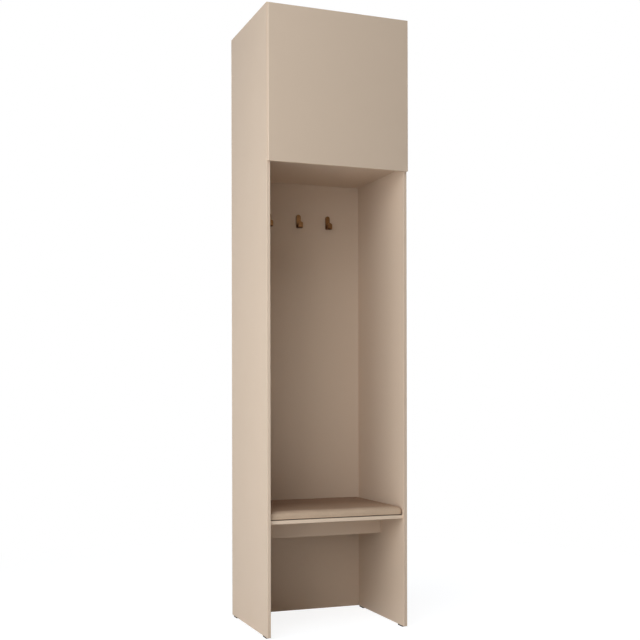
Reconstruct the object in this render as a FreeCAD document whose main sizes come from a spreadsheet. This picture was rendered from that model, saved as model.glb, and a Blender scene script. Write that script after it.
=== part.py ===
import FreeCAD, Part
import math
import os
import re

# Hall wardrobe: two tall side panels carry a closed cupboard, an open coat niche and a seat.
# Frame: +Z up, the front faces -Y, origin on the floor under the middle of the whole object.

Vector = FreeCAD.Vector
doc = FreeCAD.newDocument("HallWardrobe")
sheet = doc.addObject("Spreadsheet::Sheet", "Sizes")

# Driving dimensions in millimetres: name, value, meaning
sizes = [
    ("overall_width", 600, "outer faces of the side panels"),
    ("carcass_depth", 487, "depth of the side panels"),
    ("side_height", 2474, "height of the side panels"),
    ("board", 14, "thickness of every carcass board"),
    ("edge_round", 1, "softened front edges of the boards"),
    ("seat_height", 459.5, "floor to the top of the seat board"),
    ("seat_recess", 12, "seat edge behind the side panel edges"),
    ("apron_height", 85, "height of the rail under the seat"),
    ("apron_setback", 234, "rail face behind the side panel edges"),
    ("door_thickness", 16, "door board"),
    ("door_gap", 2, "space between the closed door and the carcass"),
    ("door_side_reveal", 2, "door edge inside the carcass width, each side"),
    ("door_top_reveal", 6.5, "door edge below the carcass top"),
    ("door_overhang", 17.5, "finger pull below the niche ceiling"),
    ("door_round", 1.5, "rounded edges of the door"),
    ("buffer_radius", 4, "soft door buffers"),
    ("buffer_gap", 0.3, "buffer face to the closed carcass edge"),
    ("buffer_inset", 40, "buffers from the top and bottom of the door"),
    ("cushion_edge", 30, "height of the cushion along its edge"),
    ("cushion_crown", 6, "rise of the cushion's top to its middle"),
    ("cushion_crown_run", 140, "how far in the cushion's top rises"),
    ("cushion_roll", 9, "height of the rolled upper cushion edge"),
    ("cushion_base_roll", 3, "height of the rolled lower cushion edge"),
    ("cushion_side_gap", 2, "cushion to each side panel"),
    ("cushion_rear_gap", 1, "cushion to the back panel"),
    ("cushion_front_setback", 2, "cushion behind the seat edge"),
    ("cushion_rest_gap", 0.2, "cushion above the seat board"),
    ("cushion_corner", 16, "plan radius of the cushion corners"),
    ("cushion_tuck", 7, "how far the rolled upper cushion edge is drawn in"),
    ("hook_spacing", 137, "between neighbouring hooks"),
    ("hook_base_height", 1683, "floor to the underside of the hooks"),
    ("hook_height", 60.5, "height of the hook plate"),
    ("hook_headroom", 134.5, "niche ceiling above the hook plates"),
    ("hook_width", 20, "width of the hook strip"),
    ("hook_thickness", 4.5, "thickness of the hook strip"),
    ("hook_reach", 34, "hook lip from the back panel"),
    ("hook_lip", 27, "height of the hook lip"),
    ("hook_bend", 6, "inner radius of the hook bends"),
    ("hook_screw_inset", 10, "upper hook screw below the plate top"),
    ("hook_screw_pitch", 12, "between the two screws of a hook"),
    ("glide_height", 6, "floor glides under the side panels"),
    ("glide_length", 40, "glide along the depth"),
    ("glide_margin", 1, "panel edge outside the glide, each side"),
    ("glide_front_inset", 23, "front glides behind the panel edge"),
    ("glide_rear_inset", 19, "rear glides before the rear edge"),
    ("glide_round", 1.2, "rounded lower edges of the glides"),
    ("nail_pitch", 24, "between the two nails of a glide"),
    ("nail_radius", 0.9, "glide nail shank"),
    ("nail_head_radius", 2, "glide nail head"),
    ("nail_head", 0.8, "height of the nail head"),
    ("nail_recess", 0.6, "nail head above the floor side of the glide"),
    ("nail_length", 14, "nail shank above its head"),
    ("cam_radius", 7.5, "cam lock housing"),
    ("cam_depth", 12.5, "cam lock housing depth in the board"),
    ("cam_setback", 24, "cam centre from the board end"),
    ("cam_inset", 60, "cams from the front and rear board edges"),
    ("cam_slot_length", 9, "driver slot in the cam"),
    ("cam_slot_width", 1.6, "driver slot width"),
    ("cam_slot_depth", 2, "driver slot depth"),
    ("bolt_radius", 3, "cam bolt shank"),
    ("bolt_neck_radius", 1.8, "cam bolt neck"),
    ("bolt_neck", 3, "length of the cam bolt neck"),
    ("bolt_head", 3, "length of the cam bolt head"),
    ("bolt_bite", 11, "cam bolt thread in the side panel"),
    ("dowel_radius", 4, "wooden dowels"),
    ("dowel_bite", 11, "dowel in the side panel or lower piece"),
    ("dowel_seat", 19, "dowel in the joined board"),
    ("dowel_offset", 32, "dowel beside its cam"),
    ("back_dowel_inset", 180, "first back panel dowel from the panel end"),
    ("back_screw_pitch", 200, "between the back panel screws of a board"),
    ("back_screw_radius", 2.5, "back panel screw shank"),
    ("back_screw_head", 4.5, "back panel screw head radius"),
    ("back_screw_cone", 3, "back panel screw head depth"),
    ("back_screw_length", 50, "back panel screw"),
    ("wood_screw_radius", 1.75, "small wood screws"),
    ("wood_screw_head", 3.5, "small wood screw head radius"),
    ("wood_screw_head_height", 2, "small wood screw head"),
    ("wood_screw_bite", 11, "small wood screws in the board"),
    ("hinge_inset", 100, "hinge centres from the top and bottom of the door"),
    ("axis_edge", 6.5, "hinge axis from the door edge"),
    ("axis_depth", 8.5, "hinge axis from the door's inner face"),
    ("cup_radius", 17.5, "hinge cup"),
    ("cup_floor", 1.2, "floor of the hinge cup"),
    ("cup_wall", 0.9, "wall of the hinge cup beside the door edge"),
    ("pocket_room", 0.6, "room around the knuckle in the cup"),
    ("pocket_side_gap", 0.3, "arm to each cheek of the cup"),
    ("flange_thickness", 1, "flange on the door's inner face"),
    ("flange_radius", 6.5, "rounded ends of the flange"),
    ("flange_pitch", 45, "between the flange screws"),
    ("flange_offset", 9.5, "flange screws beyond the cup centre"),
    ("pin_radius", 1.25, "hinge pin"),
    ("pin_length", 14, "hinge pin"),
    ("knuckle_radius", 2.2, "arm end around the hinge pin"),
    ("arm_thickness", 3, "hinge arm strip"),
    ("arm_nose_width", 7.4, "hinge arm inside the cup"),
    ("arm_base_width", 16, "hinge arm on its plate"),
    ("arm_base_start", 3, "wide arm base behind the carcass edge"),
    ("arm_base_end", 52, "arm rear end behind the carcass edge"),
    ("plate_thickness", 4, "hinge mounting plate"),
    ("plate_height", 50, "hinge mounting plate"),
    ("plate_start", 20, "plate behind the carcass edge"),
    ("plate_end", 58, "plate rear end behind the carcass edge"),
    ("plate_screw_setback", 37, "hinge screws behind the carcass edge"),
    ("plate_screw_pitch", 32, "between the plate screws"),
    ("plate_screw_radius", 3, "plate screw shank"),
    ("plate_screw_head", 4.5, "plate screw head radius"),
    ("plate_screw_head_height", 1.5, "plate screw head"),
    ("arm_screw_radius", 2.4, "arm screw shank"),
    ("arm_screw_head", 4, "arm screw head radius"),
    ("arm_screw_head_height", 2.5, "arm screw head"),
    ("bracket_leg", 36, "legs of the wall brackets"),
    ("bracket_width", 22, "width of the wall brackets"),
    ("bracket_thickness", 2.5, "steel of the wall brackets"),
    ("bracket_screw_pitch", 12, "between the screws of a bracket"),
    ("wall_hole_radius", 3.25, "holes for the wall screws"),
    ("wall_hole_drop", 20, "wall holes below the top panel"),
    ("fit", 0.05, "radial room around pins, dowels and screws"),
    ("end_room", 1, "room at the end of a blind hole"),
    ("cup_fit", 0.1, "radial room around the hinge cup"),
]
for row, (alias, value, meaning) in enumerate(sizes, start=1):
    sheet.set(f"A{row}", meaning)
    sheet.set(f"B{row}", str(value))
    sheet.setAlias(f"B{row}", alias)
doc.recompute()

alias_words = re.compile(r"\b(" + "|".join(name for name, value, meaning in sizes) + r")\b")
axis_vectors = {
    "+X": Vector(1, 0, 0),
    "-X": Vector(-1, 0, 0),
    "+Y": Vector(0, 1, 0),
    "-Y": Vector(0, -1, 0),
    "+Z": Vector(0, 0, 1),
    "-Z": Vector(0, 0, -1),
}
same_place = 1e-4
nodes = []


def read(alias):
    return float(sheet.get(alias))


def bind(item, prop, formula):
    item.setExpression(prop, alias_words.sub(r"Sizes.\1", formula))


def place(item, position):
    for letter, formula in zip("xyz", position):
        bind(item, f"Placement.Base.{letter}", formula)


def box(name, size, corner):
    item = doc.addObject("Part::Box", name)
    for prop, formula in zip(("Length", "Width", "Height"), size):
        bind(item, prop, formula)
    place(item, corner)
    return item


def cylinder(name, radius, length, start, axis):
    item = doc.addObject("Part::Cylinder", name)
    item.Placement.Rotation = FreeCAD.Rotation(axis_vectors["+Z"], axis_vectors[axis])
    bind(item, "Radius", radius)
    bind(item, "Height", length)
    place(item, start)
    return item


def cone(name, first_radius, last_radius, length, start, axis):
    item = doc.addObject("Part::Cone", name)
    item.Placement.Rotation = FreeCAD.Rotation(axis_vectors["+Z"], axis_vectors[axis])
    bind(item, "Radius1", first_radius)
    bind(item, "Radius2", last_radius)
    bind(item, "Height", length)
    place(item, start)
    return item


def fuse(name, items):
    item = doc.addObject("Part::MultiFuse", name)
    item.Shapes = items
    item.Refine = True
    return item


def group(name, items):
    item = doc.addObject("Part::Compound", name)
    item.Links = items
    return item


def cut(name, base, tools):
    item = doc.addObject("Part::Cut", name)
    item.Base = base
    item.Tool = tools[0] if len(tools) == 1 else group(name + "_tools", tools)
    return item


def rounded(name, base, radius_alias, wanted):
    # Rounds the edges of base whose middle point the test accepts
    doc.recompute()
    radius = read(radius_alias)
    picked = []
    for number, edge in enumerate(base.Shape.Edges, start=1):
        if wanted(edge.CenterOfMass, base.Shape.BoundBox):
            picked.append((number, radius, radius))
    item = doc.addObject("Part::Fillet", name)
    item.Base = base
    item.Edges = picked
    return item


def node(item, label):
    item.Label = label
    nodes.append(item)


def near(first, second):
    return abs(first - second) < same_place


# Shared lines of the object as formulas
half_depth = "((carcass_depth + door_gap + door_thickness) / 2)"
front = f"(door_gap + door_thickness - {half_depth})"
rear = half_depth
back_face = f"({rear} - board)"
inner_half = "(overall_width / 2 - board)"
inner_width = "(overall_width - 2 * board)"
carcass_top = "(glide_height + side_height)"
top_under = f"({carcass_top} - board)"
hook_top = "(hook_base_height + hook_height)"
ceiling = f"({hook_top} + hook_headroom)"
seat_under = "(seat_height - board)"
seat_front = f"({front} + seat_recess)"
apron_front = f"({front} + apron_setback)"
apron_under = f"({seat_under} - apron_height)"
door_back = f"({front} - door_gap)"
door_front = f"({door_back} - door_thickness)"
door_bottom = f"({ceiling} - door_overhang)"
door_top = f"({carcass_top} - door_top_reveal)"
door_half = "(overall_width / 2 - door_side_reveal)"
signs = (("left", "-1"), ("right", "1"))

# Boards that lie between the side panels: name, underside, front edge, side the cams open to
shelves = [
    ("top_panel", top_under, front, "down"),
    ("cupboard_floor", ceiling, front, "up"),
    ("seat_board", seat_under, seat_front, "down"),
]

# Holes collected for each board, and the fasteners that fill them
holes = {name: [] for name in (
    "left_side_panel", "right_side_panel", "top_panel", "cupboard_floor", "seat_board",
    "seat_apron", "back_panel", "cupboard_door")}
cam_bolts = []
cam_locks = []
dowels = []
back_screws = []


def cam_joint(name, board_name, side, sign, y, z, opens):
    # Bolt in the side panel, cam lock in the board, both at height z and depth y
    inward = "+X" if side == "left" else "-X"
    outward = "-X" if side == "left" else "+X"
    seam = f"({sign} * {inner_half})"
    centre = f"({sign} * ({inner_half} - cam_setback))"
    shank = "(cam_setback - bolt_neck)"
    side_start = f"{sign} * ({inner_half} + bolt_bite)"
    shaft = cylinder(f"{name}_shaft", "bolt_radius", f"bolt_bite + {shank}", (side_start, y, z), inward)
    neck_start = f"{sign} * ({inner_half} - {shank})"
    neck = cylinder(f"{name}_neck", "bolt_neck_radius", "bolt_neck", (neck_start, y, z), inward)
    head = cylinder(f"{name}_head", "bolt_radius", "bolt_head", (centre, y, z), inward)
    cam_bolts.append(fuse(f"{name}_bolt", [shaft, neck, head]))
    holes[f"{side}_side_panel"].append(
        cylinder(f"{name}_bolt_hole", "bolt_radius + fit", "bolt_bite + end_room", (seam, y, z), outward))
    holes[board_name].append(
        cylinder(f"{name}_bolt_bore", "bolt_radius + fit", "cam_setback", (seam, y, z), inward))
    face, into, slot_corner, slot_size = cam_face(opens, centre, y, z)
    housing = cylinder(f"{name}_housing", "cam_radius", "cam_depth", face, into)
    channel = cylinder(
        f"{name}_channel", "bolt_radius + fit", "cam_radius + bolt_head + end_room",
        (f"{sign} * ({inner_half} - cam_setback + cam_radius)", y, z), inward)
    slot = box(f"{name}_slot", slot_size, slot_corner)
    cam_locks.append(cut(f"{name}_lock", housing, [channel, slot]))
    holes[board_name].append(cylinder(f"{name}_pocket", "cam_radius + fit", "cam_depth", face, into))


def cam_face(opens, x, y, z):
    # Start point and direction of a cam housing, with its driver slot
    slot_x = f"{x} - cam_slot_length / 2"
    if opens == "rear":
        face = (x, f"{y} + board / 2", z)
        corner = (slot_x, f"{y} + board / 2 - cam_slot_depth", f"{z} - cam_slot_width / 2")
        return face, "-Y", corner, ("cam_slot_length", "cam_slot_depth", "cam_slot_width")
    size = ("cam_slot_length", "cam_slot_width", "cam_slot_depth")
    slot_y = f"{y} - cam_slot_width / 2"
    if opens == "up":
        face = (x, y, f"{z} + board / 2")
        return face, "-Z", (slot_x, slot_y, f"{z} + board / 2 - cam_slot_depth"), size
    face = (x, y, f"{z} - board / 2")
    return face, "+Z", (slot_x, slot_y, f"{z} - board / 2"), size


def dowel_joint(name, lower_name, upper_name, seam, axis, back_axis):
    # Dowel across the seam: axis points into the upper board, back_axis into the lower one
    start = list(seam)
    index = "XYZ".index(axis[1])
    step = "-" if axis[0] == "+" else "+"
    start[index] = f"{seam[index]} {step} dowel_bite"
    dowels.append(cylinder(f"{name}_dowel", "dowel_radius", "dowel_bite + dowel_seat", start, axis))
    holes[lower_name].append(
        cylinder(f"{name}_low", "dowel_radius + fit", "dowel_bite + end_room", seam, back_axis))
    holes[upper_name].append(
        cylinder(f"{name}_high", "dowel_radius + fit", "dowel_seat + end_room", seam, axis))


def back_screw(name, board_name, x, z):
    # Countersunk screw from the rear through the back panel into a board's rear edge
    top = (x, rear, z)
    shank = cylinder(f"{name}_shank", "back_screw_radius", "back_screw_length", top, "-Y")
    head = cone(f"{name}_cone", "back_screw_head", "back_screw_radius", "back_screw_cone", top, "-Y")
    back_screws.append(fuse(f"{name}_screw", [shank, head]))
    hole = cylinder(f"{name}_through", "back_screw_radius + fit", "board", top, "-Y")
    sink = cone(
        f"{name}_sink", "back_screw_head + fit", "back_screw_radius + fit", "back_screw_cone", top, "-Y")
    holes["back_panel"].append(fuse(f"{name}_opening", [hole, sink]))
    holes[board_name].append(cylinder(
        f"{name}_pilot", "back_screw_radius + fit", "back_screw_length - board + end_room",
        (x, back_face, z), "-Y"))


# Joints between the side panels and the boards between them
for board_name, under, board_front, opens in shelves:
    middle = f"({under} + board / 2)"
    for side, sign in signs:
        inward = "+X" if side == "left" else "-X"
        outward = "-X" if side == "left" else "+X"
        seam_x = f"{sign} * {inner_half}"
        places = (
            ("front", f"({board_front} + cam_inset)", "+"),
            ("rear", f"({back_face} - cam_inset)", "-"),
        )
        for end, y, direction in places:
            name = f"{board_name}_{side}_{end}"
            cam_joint(name, board_name, side, sign, y, middle, opens)
            dowel_y = f"({y} {direction} dowel_offset)"
            dowel_joint(
                name, f"{side}_side_panel", board_name, (seam_x, dowel_y, middle), inward, outward)
    for number in (-1, 0, 1):
        back_screw(f"{board_name}_back_{number + 2}", board_name, f"{number} * back_screw_pitch", middle)

# Joints of the rail under the seat: one cam a third of the way down each end, one dowel three
# quarters of the way down, and two dowels up into the seat
apron_middle = f"({apron_front} + board / 2)"
apron_cam_z = f"({seat_under} - apron_height / 3)"
apron_dowel_z = f"({seat_under} - apron_height * 3 / 4)"
for side, sign in signs:
    inward = "+X" if side == "left" else "-X"
    outward = "-X" if side == "left" else "+X"
    cam_joint(f"apron_{side}", "seat_apron", side, sign, apron_middle, apron_cam_z, "rear")
    dowel_joint(
        f"apron_{side}", f"{side}_side_panel", "seat_apron",
        (f"{sign} * {inner_half}", apron_middle, apron_dowel_z), inward, outward)
    dowel_joint(
        f"apron_{side}_top", "seat_board", "seat_apron",
        (f"{sign} * {inner_half} / 2", apron_middle, seat_under), "-Z", "+Z")

# Dowels between the back panel and the side panels
back_dowel_count = 5
for side, sign in signs:
    inward = "+X" if side == "left" else "-X"
    outward = "-X" if side == "left" else "+X"
    for number in range(back_dowel_count):
        step = f"(side_height - 2 * back_dowel_inset) * {number} / {back_dowel_count - 1}"
        z = f"glide_height + back_dowel_inset + {step}"
        dowel_joint(
            f"back_{side}_{number + 1}", f"{side}_side_panel", "back_panel",
            (f"{sign} * {inner_half}", f"{rear} - board / 2", z), inward, outward)

# Floor glides: a low strip with two recessed nails under each end of each side panel
glide_nails = []
for side, sign in signs:
    glide_low = "(-overall_width / 2 + glide_margin)"
    if side == "right":
        glide_low = f"({inner_half} + glide_margin)"
    glide_middle = f"({glide_low} + (board - 2 * glide_margin) / 2)"
    for end, glide_start in (
        ("front", f"({front} + glide_front_inset)"),
        ("rear", f"({rear} - glide_rear_inset - glide_length)"),
    ):
        name = f"{end}_{side}_glide"
        block = box(
            f"{name}_block", ("board - 2 * glide_margin", "glide_length", "glide_height"),
            (glide_low, glide_start, "0"))
        soft = rounded(
            f"{name}_soft", block, "glide_round", lambda point, bounds: near(point.z, bounds.ZMin))
        openings = []
        for number, offset in ((1, "- nail_pitch / 2"), (2, "+ nail_pitch / 2")):
            nail_y = f"({glide_start} + glide_length / 2 {offset})"
            head_top = "(nail_recess + nail_head)"
            nail = f"{name}_nail_{number}"
            head = cylinder(
                f"{nail}_head", "nail_head_radius", "nail_head", (glide_middle, nail_y, "nail_recess"), "+Z")
            shank = cylinder(
                f"{nail}_shank", "nail_radius", "nail_length", (glide_middle, nail_y, head_top), "+Z")
            glide_nails.append(fuse(nail, [head, shank]))
            openings.append(cylinder(
                f"{nail}_bore", "nail_head_radius + fit", head_top, (glide_middle, nail_y, "0"), "+Z"))
            openings.append(cylinder(
                f"{nail}_hole", "nail_radius + fit", "glide_height", (glide_middle, nail_y, "0"), "+Z"))
            holes[f"{side}_side_panel"].append(cylinder(
                f"{nail}_pilot", "nail_radius + fit",
                f"{head_top} + nail_length - glide_height + end_room",
                (glide_middle, nail_y, "glide_height"), "+Z"))
        node(cut(name, soft, [fuse(f"{name}_holes", openings)]), name)

# Coat hooks: a flat strip bent into a J, rounded at both ends, with two countersunk screws
hook_screws = []
outer_bend = "(hook_bend + hook_thickness)"
for label, number in (("left", -1), ("middle", 0), ("right", 1)):
    name = f"{label}_hook"
    centre = f"({number} * hook_spacing)"
    low_x = f"({centre} - hook_width / 2)"
    plate_y = f"({back_face} - hook_thickness)"
    lip_y = f"({back_face} - hook_reach)"
    plate_top = f"({hook_top} - hook_width / 2)"
    lip_top = "(hook_base_height + hook_lip - hook_width / 2)"
    bend_z = f"(hook_base_height + {outer_bend})"
    plate = box(
        f"{name}_plate", ("hook_width", "hook_thickness", f"{plate_top} - {bend_z}"),
        (low_x, plate_y, bend_z))
    crown = cylinder(
        f"{name}_crown", "hook_width / 2", "hook_thickness", (centre, plate_y, plate_top), "+Y")
    tray = box(
        f"{name}_tray", ("hook_width", f"hook_reach - 2 * {outer_bend}", "hook_thickness"),
        (low_x, f"{lip_y} + {outer_bend}", "hook_base_height"))
    lip = box(
        f"{name}_lip", ("hook_width", "hook_thickness", f"{lip_top} - {bend_z}"), (low_x, lip_y, bend_z))
    lip_crown = cylinder(
        f"{name}_lip_crown", "hook_width / 2", "hook_thickness", (centre, lip_y, lip_top), "+Y")
    # Each bend is a quarter of a tube along X
    quarters = []
    for bend, bend_y, corner_y in (
        ("rear", f"({back_face} - {outer_bend})", f"({back_face} - {outer_bend})"),
        ("front", f"({lip_y} + {outer_bend})", lip_y),
    ):
        tube_start = (low_x, bend_y, bend_z)
        tube = cylinder(f"{name}_{bend}_tube", outer_bend, "hook_width", tube_start, "+X")
        hollow = cylinder(f"{name}_{bend}_hollow", "hook_bend", "hook_width", tube_start, "+X")
        ring = cut(f"{name}_{bend}_ring", tube, [hollow])
        corner = box(
            f"{name}_{bend}_corner", ("hook_width", outer_bend, outer_bend),
            (low_x, corner_y, "hook_base_height"))
        quarter = doc.addObject("Part::Common", f"{name}_{bend}_quarter")
        quarter.Base = ring
        quarter.Tool = corner
        quarters.append(quarter)
    strip = fuse(f"{name}_strip", [plate, crown, tray, lip, lip_crown] + quarters)
    openings = []
    for place_number in (0, 1):
        screw = f"{name}_screw_{place_number + 1}"
        z = f"({hook_top} - hook_screw_inset - {place_number} * hook_screw_pitch)"
        start = (centre, plate_y, z)
        shank = cylinder(
            f"{screw}_shank", "wood_screw_radius", "hook_thickness + wood_screw_bite", start, "+Y")
        head = cone(
            f"{screw}_cone", "wood_screw_head", "wood_screw_radius", "wood_screw_head_height", start, "+Y")
        hook_screws.append(fuse(screw, [shank, head]))
        hole = cylinder(f"{screw}_hole", "wood_screw_radius + fit", "hook_thickness", start, "+Y")
        sink = cone(
            f"{screw}_sink", "wood_screw_head + fit", "wood_screw_radius + fit", "wood_screw_head_height",
            start, "+Y")
        openings += [hole, sink]
        holes["back_panel"].append(cylinder(
            f"{screw}_pilot", "wood_screw_radius + fit", "wood_screw_bite + end_room",
            (centre, back_face, z), "+Y"))
    node(cut(name, strip, [fuse(f"{name}_holes", openings)]), name)

# Wall brackets: steel angles under the top panel, midway between the back panel screws,
# with a hole through the back panel for the wall screw. Two screws go up two thirds along the top leg.
bracket_screws = []
wall_hole_z = f"({top_under} - wall_hole_drop)"
for side, sign in signs:
    name = f"{side}_wall_bracket"
    centre = f"({sign} * back_screw_pitch / 2)"
    low_x = f"({centre} - bracket_width / 2)"
    top_leg = box(
        f"{name}_top_leg", ("bracket_width", "bracket_leg", "bracket_thickness"),
        (low_x, f"{back_face} - bracket_leg", f"{top_under} - bracket_thickness"))
    wall_leg = box(
        f"{name}_wall_leg", ("bracket_width", "bracket_thickness", "bracket_leg"),
        (low_x, f"{back_face} - bracket_thickness", f"{top_under} - bracket_leg"))
    openings = [cylinder(
        f"{name}_wall_hole", "wall_hole_radius", "bracket_thickness", (centre, back_face, wall_hole_z), "-Y")]
    holes["back_panel"].append(cylinder(
        f"{name}_panel_hole", "wall_hole_radius", "board", (centre, rear, wall_hole_z), "-Y"))
    screw_y = f"({back_face} - bracket_leg * 2 / 3)"
    leg_under = f"({top_under} - bracket_thickness)"
    for number, offset in ((1, "- bracket_screw_pitch / 2"), (2, "+ bracket_screw_pitch / 2")):
        screw = f"{name}_screw_{number}"
        x = f"({centre} {offset})"
        shank = cylinder(
            f"{screw}_shank", "wood_screw_radius", "bracket_thickness + wood_screw_bite",
            (x, screw_y, leg_under), "+Z")
        head = cylinder(
            f"{screw}_head", "wood_screw_head", "wood_screw_head_height", (x, screw_y, leg_under), "-Z")
        bracket_screws.append(fuse(screw, [shank, head]))
        openings.append(cylinder(
            f"{screw}_hole", "wood_screw_radius + fit", "bracket_thickness", (x, screw_y, leg_under), "+Z"))
        holes["top_panel"].append(cylinder(
            f"{screw}_pilot", "wood_screw_radius + fit", "wood_screw_bite + end_room",
            (x, screw_y, top_under), "+Z"))
    node(cut(name, fuse(f"{name}_angle", [top_leg, wall_leg]), openings), name)

# Single-axis cup hinges at the right edge of the door
axis_x = f"({door_half} - axis_edge)"
axis_y = f"({door_back} - axis_depth)"
pocket_near = f"({axis_x} + knuckle_radius + pocket_room)"
pocket_depth = "(axis_depth + knuckle_radius + pocket_room)"
cup_x = f"({pocket_near} + cup_wall - cup_radius)"
cup_depth = f"({pocket_depth} + cup_floor)"
plate_face = f"({inner_half} - plate_thickness)"
arm_face = f"({plate_face} - arm_thickness)"
pocket_far = f"({arm_face} - end_room)"
pocket_width = "(arm_nose_width + 2 * pocket_side_gap)"
plate_screws = []
arm_screws = []
cup_screws = []
for end, hinge_z in (
    ("lower", f"({door_bottom} + hinge_inset)"),
    ("upper", f"({door_top} - hinge_inset)"),
):
    # Cup: a round body sunk in the door with a pocket for the arm and a flange with two screws
    name = f"{end}_hinge_cup"
    bowl = cylinder(f"{name}_bowl", "cup_radius", cup_depth, (cup_x, door_back, hinge_z), "-Y")
    wing_x = f"({cup_x} - flange_offset)"
    wing = box(
        f"{name}_wing", ("2 * flange_radius", "flange_thickness", "flange_pitch"),
        (f"{wing_x} - flange_radius", door_back, f"{hinge_z} - flange_pitch / 2"))
    wings = [wing]
    cup_tools = []
    for number, offset in ((1, "- flange_pitch / 2"), (2, "+ flange_pitch / 2")):
        screw = f"{name}_screw_{number}"
        z = f"({hinge_z} {offset})"
        flange_y = f"({door_back} + flange_thickness)"
        wings.append(cylinder(
            f"{screw}_ear", "flange_radius", "flange_thickness", (wing_x, door_back, z), "+Y"))
        shank = cylinder(
            f"{screw}_shank", "wood_screw_radius", "flange_thickness + wood_screw_bite",
            (wing_x, flange_y, z), "-Y")
        head = cylinder(
            f"{screw}_head", "wood_screw_head", "wood_screw_head_height", (wing_x, flange_y, z), "+Y")
        cup_screws.append(fuse(screw, [shank, head]))
        cup_tools.append(cylinder(
            f"{screw}_hole", "wood_screw_radius + fit", "flange_thickness", (wing_x, flange_y, z), "-Y"))
        holes["cupboard_door"].append(cylinder(
            f"{screw}_pilot", "wood_screw_radius + fit", "wood_screw_bite + end_room",
            (wing_x, door_back, z), "-Y"))
    pocket = box(
        f"{name}_pocket", (f"{pocket_near} - {pocket_far}", pocket_depth, pocket_width),
        (pocket_far, f"{door_back} - {pocket_depth}", f"{hinge_z} - {pocket_width} / 2"))
    pin_start = (axis_x, axis_y, f"{hinge_z} - pin_length / 2")
    pin_bore = cylinder(f"{name}_pin_bore", "pin_radius + fit", "pin_length", pin_start, "+Z")
    cup_tools.append(fuse(f"{name}_hollow", [pocket, pin_bore]))
    node(cut(name, fuse(f"{name}_body", [bowl] + wings), cup_tools), name)
    node(cylinder(f"{end}_hinge_pin", "pin_radius", "pin_length", pin_start, "+Z"), f"{end}_hinge_pin")
    holes["cupboard_door"].append(cylinder(
        f"{name}_seat", "cup_radius + cup_fit", cup_depth, (cup_x, door_back, hinge_z), "-Y"))

    # Arm: a wide base on the plate, a narrow neck forwards and a nose back to the hinge pin
    name = f"{end}_hinge_arm"
    screw_y = f"({front} + plate_screw_setback)"
    base = box(
        f"{name}_base", ("arm_thickness", "arm_base_end - arm_base_start", "arm_base_width"),
        (arm_face, f"{front} + arm_base_start", f"{hinge_z} - arm_base_width / 2"))
    nose_front = f"({axis_y} - arm_thickness / 2)"
    nose_low = f"({hinge_z} - arm_nose_width / 2)"
    neck = box(
        f"{name}_neck", ("arm_thickness", f"{front} + arm_base_start - {nose_front}", "arm_nose_width"),
        (arm_face, nose_front, nose_low))
    nose = box(
        f"{name}_nose", (f"{axis_x} - {arm_face}", "arm_thickness", "arm_nose_width"),
        (arm_face, nose_front, nose_low))
    eye_start = (axis_x, axis_y, nose_low)
    knuckle = cylinder(f"{name}_knuckle", "knuckle_radius", "arm_nose_width", eye_start, "+Z")
    eye = cylinder(f"{name}_eye", "pin_radius + fit", "arm_nose_width", eye_start, "+Z")
    arm_hole = cylinder(
        f"{name}_hole", "arm_screw_radius + fit", "arm_thickness", (arm_face, screw_y, hinge_z), "+X")
    node(cut(name, fuse(f"{name}_strip", [base, neck, nose, knuckle]), [eye, arm_hole]), name)
    shank = cylinder(
        f"{name}_screw_shank", "arm_screw_radius", "arm_thickness + plate_thickness",
        (arm_face, screw_y, hinge_z), "+X")
    head = cylinder(
        f"{name}_screw_head", "arm_screw_head", "arm_screw_head_height", (arm_face, screw_y, hinge_z), "-X")
    arm_screws.append(fuse(f"{name}_screw", [shank, head]))

    # Plate: screwed to the inner face of the right side panel
    name = f"{end}_hinge_plate"
    plate = box(
        f"{name}_block", ("plate_thickness", "plate_end - plate_start", "plate_height"),
        (plate_face, f"{front} + plate_start", f"{hinge_z} - plate_height / 2"))
    plate_tools = [cylinder(
        f"{name}_arm_hole", "arm_screw_radius + fit", "plate_thickness",
        (plate_face, screw_y, hinge_z), "+X")]
    for number, offset in ((1, "- plate_screw_pitch / 2"), (2, "+ plate_screw_pitch / 2")):
        screw = f"{name}_screw_{number}"
        z = f"({hinge_z} {offset})"
        shank = cylinder(
            f"{screw}_shank", "plate_screw_radius", "plate_thickness + wood_screw_bite",
            (plate_face, screw_y, z), "+X")
        head = cylinder(
            f"{screw}_head", "plate_screw_head", "plate_screw_head_height", (plate_face, screw_y, z), "-X")
        plate_screws.append(fuse(screw, [shank, head]))
        plate_tools.append(cylinder(
            f"{screw}_hole", "plate_screw_radius + fit", "plate_thickness", (plate_face, screw_y, z), "+X"))
        holes["right_side_panel"].append(cylinder(
            f"{screw}_pilot", "plate_screw_radius + fit", "wood_screw_bite + end_room",
            (inner_half, screw_y, z), "+X"))
    node(cut(name, plate, plate_tools), name)

# Boards, with every hole collected above
for side, sign in signs:
    name = f"{side}_side_panel"
    low_x = "-overall_width / 2" if side == "left" else inner_half
    block = box(f"{name}_block", ("board", "carcass_depth", "side_height"), (low_x, front, "glide_height"))
    soft = rounded(
        f"{name}_soft", block, "edge_round", lambda point, bounds: near(point.y, bounds.YMin))
    node(cut(name, soft, holes[name]), name)
for name, under, board_front, opens in shelves:
    block = box(
        f"{name}_block", (inner_width, f"{back_face} - {board_front}", "board"),
        (f"-{inner_half}", board_front, under))
    soft = rounded(
        f"{name}_soft", block, "edge_round",
        lambda point, bounds: near(point.y, bounds.YMin) and near(point.x, bounds.Center.x))
    node(cut(name, soft, holes[name]), name)
apron_block = box(
    "seat_apron_block", (inner_width, "board", "apron_height"), (f"-{inner_half}", apron_front, apron_under))
apron_soft = rounded(
    "seat_apron_soft", apron_block, "edge_round",
    lambda point, bounds: near(point.z, bounds.ZMin) and near(point.x, bounds.Center.x))
node(cut("seat_apron", apron_soft, holes["seat_apron"]), "seat_apron")
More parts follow.
